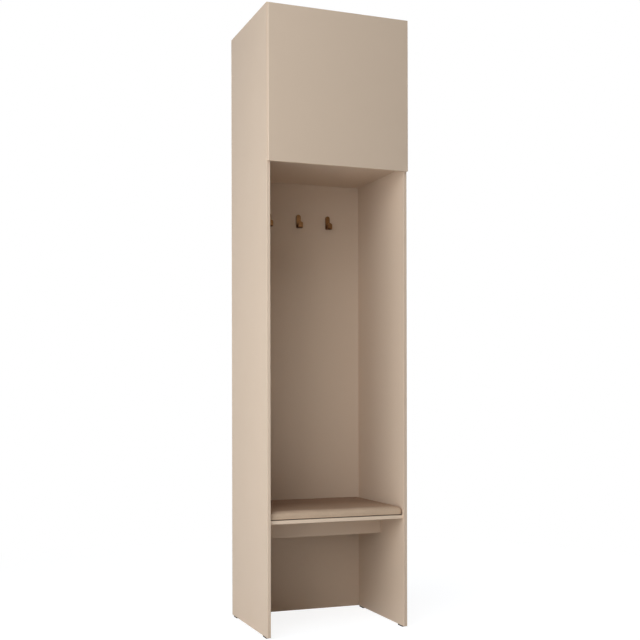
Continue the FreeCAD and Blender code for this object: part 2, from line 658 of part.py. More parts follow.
back_block = box(
    "back_panel_block", (inner_width, "board", "side_height"), (f"-{inner_half}", back_face, "glide_height"))
node(cut("back_panel", back_block, holes["back_panel"]), "back_panel")

# Door with all edges rounded, and two soft buffers on its closing side
door_block = box(
    "cupboard_door_block", (f"2 * {door_half}", "door_thickness", f"{door_top} - {door_bottom}"),
    (f"-{door_half}", door_front, door_bottom))
door_soft = rounded("cupboard_door_soft", door_block, "door_round", lambda point, bounds: True)
node(cut("cupboard_door", door_soft, holes["cupboard_door"]), "cupboard_door")
buffers = []
for end, z in (("lower", f"{door_bottom} + buffer_inset"), ("upper", f"{door_top} - buffer_inset")):
    buffers.append(cylinder(
        f"{end}_buffer", "buffer_radius", "door_gap - buffer_gap",
        (f"-({inner_half} + board / 2)", door_back, z), "+Y"))

# Fasteners of one kind are one group of separate solids
for label, members in (
    ("cam_bolts", cam_bolts),
    ("cam_locks", cam_locks),
    ("wooden_dowels", dowels),
    ("back_screws", back_screws),
    ("glide_nails", glide_nails),
    ("hook_screws", hook_screws),
    ("wall_bracket_screws", bracket_screws),
    ("hinge_plate_screws", plate_screws),
    ("hinge_arm_screws", arm_screws),
    ("hinge_cup_screws", cup_screws),
    ("door_buffers", buffers),
):
    node(group(label, members), label)


def cushion_outline(inset, radius, height, half_width, rear_y, front_y):
    # Closed plan outline of the cushion: four lines and four quarter arcs at one height
    left = -half_width + inset
    right = half_width - inset
    near_y = front_y + inset
    far_y = rear_y - inset
    slant = radius * math.sqrt(0.5)
    corners = (
        (right - radius, near_y + radius, 0, -1),
        (right - radius, far_y - radius, 1, 0),
        (left + radius, far_y - radius, 0, 1),
        (left + radius, near_y + radius, -1, 0),
    )
    edges = []
    points = []
    for x, y, start_x, start_y in corners:
        end_x, end_y = -start_y, start_x
        start = Vector(x + radius * start_x, y + radius * start_y, height)
        middle = Vector(x + slant * (start_x + end_x), y + slant * (start_y + end_y), height)
        end = Vector(x + radius * end_x, y + radius * end_y, height)
        points.append((start, middle, end))
    for number, (start, middle, end) in enumerate(points):
        edges.append(Part.Arc(start, middle, end).toShape())
        following = points[(number + 1) % len(points)][0]
        edges.append(Part.LineSegment(end, following).toShape())
    return Part.Wire(edges)


# Seat cushion: its edge rolls in below and above, and the top rises to a low crown.
# The corners are drawn in further than the sides, so their plan radius grows with the inset.
roll_steps = 5
crown_steps = 6
corner_draw = 0.4
largest_roll = 0.48


def cushion_levels(tuck, roll, base_roll, edge, crown, run):
    # Pairs of inset and height from the underside to the crown
    roll = min(roll, edge * largest_roll)
    base_roll = min(base_roll, edge * largest_roll)
    base_tuck = tuck * base_roll / roll
    levels = []
    for number in range(roll_steps + 1):
        angle = math.pi / 2 * number / roll_steps
        levels.append((base_tuck * (1 - math.sin(angle)), base_roll * (1 - math.cos(angle))))
    for number in range(roll_steps + 1):
        angle = math.pi / 2 * number / roll_steps
        levels.append((tuck * (1 - math.cos(angle)), edge - roll + roll * math.sin(angle)))
    for number in range(1, crown_steps + 1):
        share = number / crown_steps
        levels.append((tuck + run * share, edge + crown * (1 - (1 - share) ** 2)))
    return levels


half_total = (read("carcass_depth") + read("door_gap") + read("door_thickness")) / 2
cushion_rear = half_total - read("board") - read("cushion_rear_gap")
cushion_front = read("door_gap") + read("door_thickness") - half_total
cushion_front += read("seat_recess") + read("cushion_front_setback")
cushion_half = read("overall_width") / 2 - read("board") - read("cushion_side_gap")
cushion_outlines = []
for inset, height in cushion_levels(
    read("cushion_tuck"), read("cushion_roll"), read("cushion_base_roll"), read("cushion_edge"),
    read("cushion_crown"), read("cushion_crown_run"),
):
    radius = read("cushion_corner") + inset * corner_draw
    cushion_outlines.append(
        cushion_outline(inset, radius, height, cushion_half, cushion_rear, cushion_front))
cushion = doc.addObject("Part::Feature", "seat_cushion")
cushion.Shape = Part.makeLoft(cushion_outlines, True, True)
cushion.Placement.Base = Vector(0, 0, read("seat_height") + read("cushion_rest_gap"))
node(cushion, "seat_cushion")

doc.recompute()
for item in doc.Objects:
    if "Invalid" in item.State or "Error" in item.State:
        raise RuntimeError(f"{item.Name} failed: {item.State}")
for item in nodes:
    if item.Shape.isNull() or not item.Shape.isValid() or not item.Shape.Solids:
        raise RuntimeError(f"{item.Label} has no valid solid")
for name, tools in holes.items():
    board_item = next(item for item in nodes if item.Label == name)
    if board_item.Shape.Volume > board_item.Base.Shape.Volume - 1:
        raise RuntimeError(f"{name} has no holes cut")

os.makedirs("parts", exist_ok=True)
for item in nodes:
    item.Shape.exportStep(f"parts/{item.Label}.step")
    print(item.Label, len(item.Shape.Solids), round(item.Shape.Volume, 2))
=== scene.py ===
import math

import bmesh
import bpy
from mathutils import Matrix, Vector, noise


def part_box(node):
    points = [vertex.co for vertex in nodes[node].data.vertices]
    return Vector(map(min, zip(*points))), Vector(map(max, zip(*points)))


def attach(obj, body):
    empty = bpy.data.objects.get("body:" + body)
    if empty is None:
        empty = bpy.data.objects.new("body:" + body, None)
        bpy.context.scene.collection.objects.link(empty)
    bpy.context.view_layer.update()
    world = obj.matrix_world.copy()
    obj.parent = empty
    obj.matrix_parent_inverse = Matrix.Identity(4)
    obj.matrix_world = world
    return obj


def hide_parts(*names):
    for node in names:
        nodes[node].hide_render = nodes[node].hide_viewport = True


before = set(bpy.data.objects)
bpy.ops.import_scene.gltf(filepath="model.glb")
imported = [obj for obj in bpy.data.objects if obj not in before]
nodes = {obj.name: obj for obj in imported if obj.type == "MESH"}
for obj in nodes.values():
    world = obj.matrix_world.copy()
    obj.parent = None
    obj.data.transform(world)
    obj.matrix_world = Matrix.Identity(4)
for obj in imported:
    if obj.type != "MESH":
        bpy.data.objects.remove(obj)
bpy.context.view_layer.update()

print("frame loaded:", len(nodes), "nodes")


def tone(red, green, blue):  # screen colour 0-255 to the linear colour a shader wants, by the sRGB curve
    def linear(level):
        share = level / 255
        return share / 12.92 if share <= 0.04045 else ((share + 0.055) / 1.055) ** 2.4
    return (linear(red), linear(green), linear(blue), 1.0)


# Small helpers for shader trees
def feed(tree, socket, value):
    if isinstance(value, bpy.types.NodeSocket):
        tree.links.new(value, socket)
    else:
        socket.default_value = value


def addNode(tree, kind, sockets=None, **settings):
    node = tree.nodes.new(kind)
    for name, value in settings.items():
        setattr(node, name, value)
    for name, value in (sockets or {}).items():
        feed(tree, node.inputs[name], value)
    return node


def calc(tree, operation, first, second=0.0, third=0.0):
    return addNode(tree, "ShaderNodeMath", {0: first, 1: second, 2: third}, operation=operation).outputs[0]


def vectorCalc(tree, operation, first, second):
    return addNode(tree, "ShaderNodeVectorMath", {0: first, 1: second}, operation=operation).outputs[0]


def brighten(tree, color, share):
    node = addNode(tree, "ShaderNodeVectorMath", {0: color, "Scale": share}, operation="SCALE")
    return node.outputs[0]


def remap(tree, value, fromLow, fromHigh, toLow, toHigh):
    sockets = {0: value, 1: fromLow, 2: fromHigh, 3: toLow, 4: toHigh}
    return addNode(tree, "ShaderNodeMapRange", sockets, clamp=True).outputs[0]


def mixColor(tree, factor, first, second):
    sockets = {0: factor, 6: first, 7: second}
    return addNode(tree, "ShaderNodeMix", sockets, data_type="RGBA").outputs[2]


def cloud(tree, vector, scale, detail, roughness=0.5):
    sockets = {"Vector": vector, "Scale": scale, "Detail": detail, "Roughness": roughness}
    return addNode(tree, "ShaderNodeTexNoise", sockets).outputs["Fac"]


def centre(tree, value):  # noise runs from 0 to 1 round a half
    return calc(tree, "SUBTRACT", value, 0.5)


def newGroup(name, inputs, outputs):
    tree = bpy.data.node_groups.new(name, "ShaderNodeTree")
    for label, kind, value in inputs:
        socket = tree.interface.new_socket(name=label, in_out="INPUT", socket_type="NodeSocket" + kind)
        socket.default_value = value
    for label, kind in outputs:
        tree.interface.new_socket(name=label, in_out="OUTPUT", socket_type="NodeSocket" + kind)
    return tree, tree.nodes.new("NodeGroupInput").outputs, tree.nodes.new("NodeGroupOutput").inputs


def newMaterial(name):
    material = bpy.data.materials.new(name)
    material.use_nodes = True
    tree = material.node_tree
    return material, tree, tree.nodes["Principled BSDF"]


def useGroup(tree, group, sockets):
    node = addNode(tree, "ShaderNodeGroup", node_tree=group)
    for name, value in sockets.items():
        feed(tree, node.inputs[name], value)
    return node.outputs


def addBump(tree, shader, height, distance):
    bump = addNode(tree, "ShaderNodeBump", {"Height": height, "Distance": distance, "Strength": 1.0})
    tree.links.new(bump.outputs["Normal"], shader.inputs["Normal"])


def dress(names, material):
    for name in names:
        slots = nodes[name].data.materials
        slots.clear()
        slots.append(material)


# Boards: smooth matt lacquer with edge banding
boardLook = {
    "color": tone(198, 172, 147),
    "bandWidth": 0.001,
    "seamWidth": 0.00018,
    "seamDark": 0.72,
    "seamGroove": 2.0,      # depth of the seam against the lacquer's bumps
    "roughness": 0.52,
    "specular": 0.35,
    "drift": 0.035,         # slow change of tone over a board
    "driftSize": 1.7,       # sizes are per metre
    "peelSize": 700.0,      # bumps of the lacquer
    "peelHeight": 0.00004,
    "dustSize": 2600.0,
    "dustShare": 0.35,
    "smearSize": 9.0,       # wiped marks that change the gloss
    "smearRough": 0.12,
}
boards = {  # the edges that carry banding, and how much lighter they are painted than the faces: a painted highlight on the edges
    "left_side_panel": {"edges": ("Front", "Ends"), "edgeHighlight": 1.1},
    "right_side_panel": {"edges": ("Front", "Ends"), "edgeHighlight": 1.1},
    "top_panel": {"edges": ("Front",), "edgeHighlight": 1.1},
    "cupboard_floor": {"edges": ("Front",), "edgeHighlight": 1.1},
    # the seat's front edge carries the strongest painted highlight
    "seat_board": {"edges": ("Front",), "edgeHighlight": 1.24},
    "seat_apron": {"edges": ("Ends",), "edgeHighlight": 1.1},
    "back_panel": {"edges": ("Ends",), "edgeHighlight": 1.1},
    "cupboard_door": {"edges": ("Sides", "Ends"), "edgeHighlight": 1.1},
}


def makeLacquerSkin(look):
    tree, given, out = newGroup(
        "lacquerSkin",
        [("Vector", "Vector", (0, 0, 0)), ("Color", "Color", (0.5, 0.5, 0.5, 1)),
         ("Drift", "Float", 0.03), ("Peel Size", "Float", 700.0), ("Roughness", "Float", 0.5)],
        [("Color", "Color"), ("Roughness", "Float"), ("Height", "Float")])
    slow = cloud(tree, given["Vector"], look["driftSize"], detail=3.0)
    light = calc(tree, "MULTIPLY_ADD", centre(tree, slow), given["Drift"], 1.0)
    tree.links.new(brighten(tree, given["Color"], light), out["Color"])
    peel = cloud(tree, given["Vector"], given["Peel Size"], detail=1.0)
    dust = cloud(tree, given["Vector"], look["dustSize"], detail=0.0)
    height = calc(tree, "MULTIPLY_ADD", dust, look["dustShare"], peel)
    tree.links.new(height, out["Height"])
    smear = cloud(tree, given["Vector"], look["smearSize"], detail=4.0, roughness=0.6)
    rough = calc(tree, "MULTIPLY_ADD", centre(tree, smear), look["smearRough"], given["Roughness"])
    tree.links.new(rough, out["Roughness"])
    return tree


def makeEdgeBand():
    tree, given, out = newGroup(
        "edgeBand",
        [("Vector", "Vector", (0, 0, 0)), ("Low", "Vector", (0, 0, 0)), ("High", "Vector", (1, 1, 1)),
         ("Front", "Float", 0.0), ("Sides", "Float", 0.0), ("Ends", "Float", 0.0),
         ("Width", "Float", 0.001), ("Seam", "Float", 0.0002)],
        [("Band", "Float"), ("Seam", "Float")])
    far = 10.0  # an edge that is not chosen counts as this far away
    fromLow = vectorCalc(tree, "SUBTRACT", given["Vector"], given["Low"])
    fromHigh = vectorCalc(tree, "SUBTRACT", given["High"], given["Vector"])
    low = addNode(tree, "ShaderNodeSeparateXYZ", {0: fromLow}).outputs
    high = addNode(tree, "ShaderNodeSeparateXYZ", {0: fromHigh}).outputs
    distance = far
    for gap, flag in (
        (low[1], "Front"), (low[0], "Sides"), (high[0], "Sides"), (low[2], "Ends"), (high[2], "Ends"),
    ):
        without = calc(tree, "MULTIPLY", calc(tree, "SUBTRACT", 1.0, given[flag]), far)
        distance = calc(tree, "MINIMUM", calc(tree, "ADD", gap, without), distance)
    tree.links.new(calc(tree, "LESS_THAN", distance, given["Width"]), out["Band"])
    fromSeam = calc(tree, "ABSOLUTE", calc(tree, "SUBTRACT", distance, given["Width"]))
    tree.links.new(remap(tree, fromSeam, 0.0, given["Seam"], 1.0, 0.0), out["Seam"])
    return tree


lacquerSkin = makeLacquerSkin(boardLook)
edgeBand = makeEdgeBand()


def scaled(color, share):
    return tuple(level * share for level in color[:3]) + (1.0,)


def makeBoardMaterial(name, board, look):
    material, tree, shader = newMaterial("lacquer_" + name)
    place = addNode(tree, "ShaderNodeTexCoord").outputs["Object"]
    skin = useGroup(tree, lacquerSkin, {
        "Vector": place, "Color": look["color"], "Drift": look["drift"],
        "Peel Size": look["peelSize"], "Roughness": look["roughness"]})
    low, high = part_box(name)
    band = useGroup(tree, edgeBand, {
        "Vector": place, "Low": low, "High": high, "Width": look["bandWidth"],
        "Seam": look["seamWidth"], **{edge: 1.0 for edge in board["edges"]}})
    # banded edges take a painted highlight: the board colour made lighter
    color = mixColor(tree, band["Band"], skin["Color"], scaled(look["color"], board["edgeHighlight"]))
    color = mixColor(tree, band["Seam"], color, scaled(look["color"], look["seamDark"]))
    tree.links.new(color, shader.inputs["Base Color"])
    tree.links.new(skin["Roughness"], shader.inputs["Roughness"])
    shader.inputs["Specular IOR Level"].default_value = look["specular"]
    groove = calc(tree, "MULTIPLY", band["Seam"], look["seamGroove"])
    addBump(tree, shader, calc(tree, "SUBTRACT", skin["Height"], groove), look["peelHeight"])
    return material


for boardName, board in boards.items():
    dress([boardName], makeBoardMaterial(boardName, board, boardLook))
print("boards lacquered:", len(boards))


# Metals: bronze hooks, zinc plated fittings
metalWear = {
    "spotSize": 140.0,      # stains, per metre
    "spotLow": 0.4,
    "spotHigh": 0.72,
    "stainRough": 0.2,      # stains and brush lines change the gloss
    "brushRough": 0.18,
}


def makeMetalSkin(wear):
    tree, given, out = newGroup(
        "metalSkin",
        [("Vector", "Vector", (0, 0, 0)), ("Color", "Color", (0.5, 0.5, 0.5, 1)),
         ("Tarnish Color", "Color", (0.2, 0.2, 0.2, 1)), ("Tarnish", "Float", 0.3),
         ("Brush", "Vector", (60, 4000, 4000)), ("Roughness", "Float", 0.3)],
        [("Color", "Color"), ("Roughness", "Float"), ("Height", "Float")])
    stretched = vectorCalc(tree, "MULTIPLY", given["Vector"], given["Brush"])
    lines = cloud(tree, stretched, 1.0, detail=3.0, roughness=0.6)
    spots = cloud(tree, given["Vector"], wear["spotSize"], detail=5.0, roughness=0.62)
    spotted = remap(tree, spots, wear["spotLow"], wear["spotHigh"], 0.0, 1.0)
    stain = calc(tree, "MULTIPLY", spotted, given["Tarnish"])
    tree.links.new(mixColor(tree, stain, given["Color"], given["Tarnish Color"]), out["Color"])
    rough = calc(tree, "MULTIPLY_ADD", centre(tree, lines), wear["brushRough"], given["Roughness"])
    tree.links.new(calc(tree, "MULTIPLY_ADD", stain, wear["stainRough"], rough), out["Roughness"])
    tree.links.new(lines, out["Height"])
    return tree


metalSkin = makeMetalSkin(metalWear)
metalLooks = {
    "bronze": {
        "color": tone(118, 84, 52), "tarnishColor": tone(70, 46, 26), "tarnish": 0.5,
        "brush": (3000, 3000, 90), "roughness": 0.3, "height": 0.00002,
        "nodes": ["left_hook", "middle_hook", "right_hook", "hook_screws"],
    },
    "zinc": {
        "color": tone(196, 198, 200), "tarnishColor": tone(150, 152, 152), "tarnish": 0.5,
        "brush": (900, 900, 900), "roughness": 0.34, "height": 0.00001,
        "nodes": [
            "cam_bolts", "cam_locks", "back_screws", "glide_nails", "wall_bracket_screws",
            "left_wall_bracket", "right_wall_bracket", "hinge_plate_screws", "hinge_arm_screws",
            "hinge_cup_screws", "lower_hinge_cup", "upper_hinge_cup", "lower_hinge_arm",
            "upper_hinge_arm", "lower_hinge_plate", "upper_hinge_plate", "lower_hinge_pin",
            "upper_hinge_pin"],
    },
}
for metalName, look in metalLooks.items():
    material, tree, shader = newMaterial(metalName)
    place = addNode(tree, "ShaderNodeTexCoord").outputs["Object"]
    skin = useGroup(tree, metalSkin, {
        "Vector": place, "Color": look["color"], "Tarnish Color": look["tarnishColor"],
        "Tarnish": look["tarnish"], "Brush": look["brush"], "Roughness": look["roughness"]})
    tree.links.new(skin["Color"], shader.inputs["Base Color"])
    tree.links.new(skin["Roughness"], shader.inputs["Roughness"])
    shader.inputs["Metallic"].default_value = 1.0
    addBump(tree, shader, skin["Height"], look["height"])
    dress(look["nodes"], material)
print("metals dressed:", ", ".join(metalLooks))


# Moulded plastic, rubber and beech
mouldedWear = {
    "grainRough": 0.15,     # the grain changes the gloss
    "grainHeight": 0.00003,
}


def makeMouldedSkin(wear):
    tree, given, out = newGroup(
        "mouldedSkin",
        [("Vector", "Vector", (0, 0, 0)), ("Color", "Color", (0.5, 0.5, 0.5, 1)),
         ("Grain", "Vector", (1500, 1500, 1500)), ("Contrast", "Float", 0.2), ("Roughness", "Float", 0.5)],
        [("Color", "Color"), ("Roughness", "Float"), ("Height", "Float")])
    stretched = vectorCalc(tree, "MULTIPLY", given["Vector"], given["Grain"])
    grain = cloud(tree, stretched, 1.0, detail=4.0, roughness=0.55)
    centred = centre(tree, grain)
    light = calc(tree, "MULTIPLY_ADD", centred, given["Contrast"], 1.0)
    tree.links.new(brighten(tree, given["Color"], light), out["Color"])
    rough = calc(tree, "MULTIPLY_ADD", centred, wear["grainRough"], given["Roughness"])
    tree.links.new(rough, out["Roughness"])
    tree.links.new(grain, out["Height"])
    return tree


mouldedSkin = makeMouldedSkin(mouldedWear)
mouldedLooks = {
    "glidePlastic": {
        "color": tone(20, 19, 18), "grain": (1500, 1500, 1500), "contrast": 0.25, "roughness": 0.7,
        "specular": 0.05,
        "nodes": ["front_left_glide", "rear_left_glide", "front_right_glide", "rear_right_glide"],
    },
    "bufferRubber": {
        "color": tone(214, 210, 202), "grain": (900, 900, 900), "contrast": 0.1, "roughness": 0.38,
        "specular": 0.5,
        "nodes": ["door_buffers"],
    },
    "dowelBeech": {
        "color": tone(205, 165, 120), "grain": (80, 1200, 1200), "contrast": 0.5, "roughness": 0.6,
        "specular": 0.3,
        "nodes": ["wooden_dowels"],
    },
}
for mouldedName, look in mouldedLooks.items():
    material, tree, shader = newMaterial(mouldedName)
    place = addNode(tree, "ShaderNodeTexCoord").outputs["Object"]
    skin = useGroup(tree, mouldedSkin, {
        "Vector": place, "Color": look["color"], "Grain": look["grain"],
        "Contrast": look["contrast"], "Roughness": look["roughness"]})
    tree.links.new(skin["Color"], shader.inputs["Base Color"])
    tree.links.new(skin["Roughness"], shader.inputs["Roughness"])
    shader.inputs["Specular IOR Level"].default_value = look["specular"]
    addBump(tree, shader, skin["Height"], mouldedWear["grainHeight"])
    dress(look["nodes"], material)
print("small parts dressed:", ", ".join(mouldedLooks))


# Seat cushion: foam pad in a woven cover, swollen by a short cloth run
cushionMake = {
    "shrink": 0.003,        # the pad starts this much smaller on each side
    "height": 0.0265,       # and this high, before it swells
    "cornerRadius": 0.008,
    "cornerSegments": 5,
    "topRoll": 0.0065,
    "topSegments": 3,
    "baseRoll": 0.004,
    "baseSegments": 2,
    "drawIn": 0.002,        # how far the sides pull in between the corners
    "drawPower": 6,         # and how soon that fades inwards
    "voxel": 0.005,
    "pressure": 4.0,
    "lastFrame": 20,
    "capSide": 0.002,       # the most that a point may move
    "capUp": 0.008,
    "seamHeight": 0.008,    # seam round the sides above the seat
    "seamWidth": 0.0022,
    "seamDepth": 0.0009,
    "lumpSize": 8.0,        # soft hollows of the filling, per metre
    "lumpDepth": 0.0022,
    "puckerSize": 38.0,     # small creases beside the upper edge, per metre
    "puckerDepth": 0.0014,
    "puckerReach": 0.045,
    "puckerTurn": 0.3,      # how far the creases run over the edge
    "fill": 0.8,
}


def deselectAll():
    for item in bpy.context.selected_objects:
        item.select_set(False)


def startBlock(name, low, high):
    deselectAll()
    bpy.ops.mesh.primitive_cube_add(size=1.0, location=(low + high) / 2)
    piece = bpy.context.object
    piece.name = name
    piece.data.name = name
    piece.scale = high - low
    bpy.ops.object.transform_apply(location=True, rotation=True, scale=True)
    return piece


def selectEdges(piece, wanted):  # leaves the piece in edit mode
    bpy.ops.object.mode_set(mode="EDIT")
    bpy.ops.mesh.select_mode(type="EDGE")
    bpy.ops.mesh.select_all(action="DESELECT")
    shape = bmesh.from_edit_mesh(piece.data)
    for edge in shape.edges:
        edge.select_set(wanted(edge.verts[0].co, edge.verts[1].co))
    bmesh.update_edit_mesh(piece.data)


def shapePad(make, low, high):
    inset = Vector((make["shrink"], make["shrink"], 0))
    small = low + inset
    large = high - inset
    large.z = low.z + make["height"]
    near = 0.0001  # an edge this close to a face counts as in it
    pad = startBlock("cushion_pad", small, large)
    selectEdges(pad, lambda a, b: abs(a.z - b.z) > make["height"] / 2)
    bpy.ops.mesh.bevel(offset=make["cornerRadius"], segments=make["cornerSegments"], affect="EDGES")
    selectEdges(pad, lambda a, b: min(a.z, b.z) > large.z - near)
    bpy.ops.mesh.bevel(offset=make["topRoll"], segments=make["topSegments"], affect="EDGES")
    selectEdges(pad, lambda a, b: max(a.z, b.z) < small.z + near)
    bpy.ops.mesh.bevel(offset=make["baseRoll"], segments=make["baseSegments"], affect="EDGES")
    bpy.ops.object.mode_set(mode="OBJECT")
    pad.data.remesh_voxel_size = make["voxel"]
    bpy.ops.object.voxel_remesh()
    middle = (small + large) / 2
    half = (large - small) / 2
    for point in pad.data.vertices:  # draw the sides in between the corners
        across = point.co - middle
        alongX = min(abs(across.x) / half.x, 1.0)
        alongY = min(abs(across.y) / half.y, 1.0)
        pullX = make["drawIn"] * (1 - alongY ** 2) * alongX ** make["drawPower"]
        pullY = make["drawIn"] * (1 - alongX ** 2) * alongY ** make["drawPower"]
        point.co.x -= math.copysign(pullX, across.x)
        point.co.y -= math.copysign(pullY, across.y)
    return pad


def swellPad(pad, make, floor):
    before = [point.co.copy() for point in pad.data.vertices]
    cloth = pad.modifiers.new("swell", "CLOTH")
    cloth.settings.use_pressure = True
    cloth.settings.uniform_pressure_force = make["pressure"]
    cloth.settings.effector_weights.gravity = 0.0
    cloth.point_cache.frame_end = make["lastFrame"]
    for number in range(1, make["lastFrame"] + 1):
        bpy.context.scene.frame_set(number)
    bpy.ops.object.modifier_apply(modifier="swell")
    bpy.context.scene.frame_set(1)
    for point, start in zip(pad.data.vertices, before):
        move = point.co - start
        side = Vector((move.x, move.y, 0))
        if side.length > make["capSide"]:
            side *= make["capSide"] / side.length
        up = max(-make["capUp"], min(make["capUp"], move.z))
        point.co = start + side
        point.co.z = max(start.z + up, floor)  # the seat board keeps the underside flat


def fitPad(pad, low, high):  # into the space of the plain solid
    corners = [point.co for point in pad.data.vertices]
    small = Vector(min(corner[axis] for corner in corners) for axis in range(3))
    large = Vector(max(corner[axis] for corner in corners) for axis in range(3))
    for point in pad.data.vertices:
        for axis in range(3):
            share = (point.co[axis] - small[axis]) / (large[axis] - small[axis])
            point.co[axis] = low[axis] + share * (high[axis] - low[axis])


def sewPad(pad, make, low, high):  # a seam round the sides, soft hollows, creases beside the upper edge
    middle = (low + high) / 2
    half = (high - low) / 2
    moves = []
    for point in pad.data.vertices:
        toEdge = min(half.x - abs(point.co.x - middle.x), half.y - abs(point.co.y - middle.y))
        above = (point.co.z - low.z - make["seamHeight"]) / make["seamWidth"]
        sideways = 1 - abs(point.normal.z)
        inward = make["seamDepth"] * math.exp(-above * above) * sideways
        beside = max(0.0, 1 - toEdge / make["puckerReach"]) * max(0.0, point.normal.z + make["puckerTurn"])
        crease = noise.noise(point.co * make["puckerSize"])
        hollow = make["lumpDepth"] * min(noise.noise(point.co * make["lumpSize"]), 0.0)
        upper = max(0.0, point.normal.z)
        moves.append(point.normal * (
            make["puckerDepth"] * beside * min(crease, 0.0) + hollow * upper - inward))
    for point, move in zip(pad.data.vertices, moves):
        point.co += move


def makeCushion(make):
    low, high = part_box("seat_cushion")
    pad = shapePad(make, low, high)
    swellPad(pad, make, low.z)
    fitPad(pad, low, high)
    smooth = pad.modifiers.new("smooth", "SUBSURF")
    smooth.levels = 1
    smooth.render_levels = 1
    bpy.ops.object.modifier_apply(modifier="smooth")
    sewPad(pad, make, low, high)
    bpy.ops.object.shade_smooth()
    bpy.ops.object.mode_set(mode="EDIT")
    bpy.ops.mesh.select_all(action="SELECT")
    bpy.ops.uv.cube_project(cube_size=1.0, correct_aspect=False)
    bpy.ops.object.mode_set(mode="OBJECT")
    return pad


fabricLook = {
    "color": tone(198, 167, 138),
    "shadedTopColor": tone(144, 115, 92),      # top painted darker: painted shade, as little light falls on the top
    "litFrontColor": tone(174, 144, 118),  # front strip of the top painted paler: painted light on the part the light reaches
    "litFrontReach": 0.26,
    "topShadeLow": 0.55,         # how far a face must look up to take the painted top shade
    "topShadeHigh": 0.99,
    "underShadowColor": tone(104, 86, 70),      # painted shadow: the lowest few millimetres of the pad painted dark, where its lower roll is shaded against the seat
    "underShadowHeight": 0.0035,
    "underShadowBlur": 0.0003,
    "slubSize": 260.0,      # thick places in the threads, per metre
    "slubHeight": 0.5,
    "wornSize": 14.0,       # mottled wear, per metre
    "wornShare": 0.6,
    "slubShare": 0.4,
    "mottleLow": 0.35,
    "mottleHigh": 0.65,
    "wornLight": 1.03,
    "wornDark": 0.94,
    "thread": 0.0016,
    "threadLow": 0.35,
    # the weave is painted darker in its grooves and a little lighter on the thread crowns
    "threadGrooveShade": 0.8,      # painted shade between the threads
    "threadCrownLight": 1.08,
    "roughness": 0.88,
    "specular": 0.15,
    "height": 0.0003,
}


def makeFabric(look):
    material, tree, shader = newMaterial("cushionFabric")
    flat = addNode(tree, "ShaderNodeUVMap").outputs["UV"]
    coords = addNode(tree, "ShaderNodeTexCoord").outputs
    axes = addNode(tree, "ShaderNodeSeparateXYZ", {0: flat}).outputs
    turn = math.pi / look["thread"]
    warp = calc(tree, "ABSOLUTE", calc(tree, "SINE", calc(tree, "MULTIPLY", axes[0], turn)))
    weft = calc(tree, "ABSOLUTE", calc(tree, "SINE", calc(tree, "MULTIPLY", axes[1], turn)))
    over = calc(tree, "MAXIMUM", warp, weft)
    slub = cloud(tree, coords["Object"], look["slubSize"], detail=3.0)
    height = calc(tree, "MULTIPLY_ADD", slub, look["slubHeight"], over)
    upward = addNode(tree, "ShaderNodeSeparateXYZ", {0: coords["Normal"]}).outputs[2]
    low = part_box("seat_cushion")[0]
    place = addNode(tree, "ShaderNodeSeparateXYZ", {0: coords["Object"]}).outputs
    # painted light: the top is painted paler towards its front edge
    litFront = remap(tree, place[1], low.y, low.y + look["litFrontReach"], 1.0, 0.0)
    paintedTopTone = mixColor(tree, litFront, look["shadedTopColor"], look["litFrontColor"])
    # painted shade: faces that look up take the darker top colour
    facing = remap(tree, upward, look["topShadeLow"], look["topShadeHigh"], 0.0, 1.0)
    paintedShadeAndLight = mixColor(tree, facing, look["color"], paintedTopTone)
    # painted shadow: a dark strip along the bottom of the pad
    underShadowEdge = low.z + look["underShadowHeight"]
    underShadow = remap(tree, place[2], underShadowEdge - look["underShadowBlur"], underShadowEdge + look["underShadowBlur"], 1.0, 0.0)
    paintedShadeAndLight = mixColor(tree, underShadow, paintedShadeAndLight, look["underShadowColor"])
    worn = cloud(tree, coords["Object"], look["wornSize"], detail=3.0)
    slubbed = calc(tree, "MULTIPLY", slub, look["slubShare"])
    mottle = calc(tree, "MULTIPLY_ADD", worn, look["wornShare"], slubbed)
    shade = remap(tree, mottle, look["mottleLow"], look["mottleHigh"], look["wornLight"], look["wornDark"])
    # painted shade of the weave: darker in the grooves between threads
    weaveShade = remap(tree, over, look["threadLow"], 1.0, look["threadGrooveShade"], look["threadCrownLight"])
    cloth = brighten(tree, paintedShadeAndLight, calc(tree, "MULTIPLY", shade, weaveShade))
    tree.links.new(cloth, shader.inputs["Base Color"])
    shader.inputs["Roughness"].default_value = look["roughness"]
    shader.inputs["Specular IOR Level"].default_value = look["specular"]
    addBump(tree, shader, height, look["height"])
    return material


fabric = makeFabric(fabricLook)
cushion = makeCushion(cushionMake)
cushion.data.materials.append(fabric)
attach(cushion, "cushion")
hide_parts("seat_cushion")
print("cushion made:", len(cushion.data.polygons), "faces")


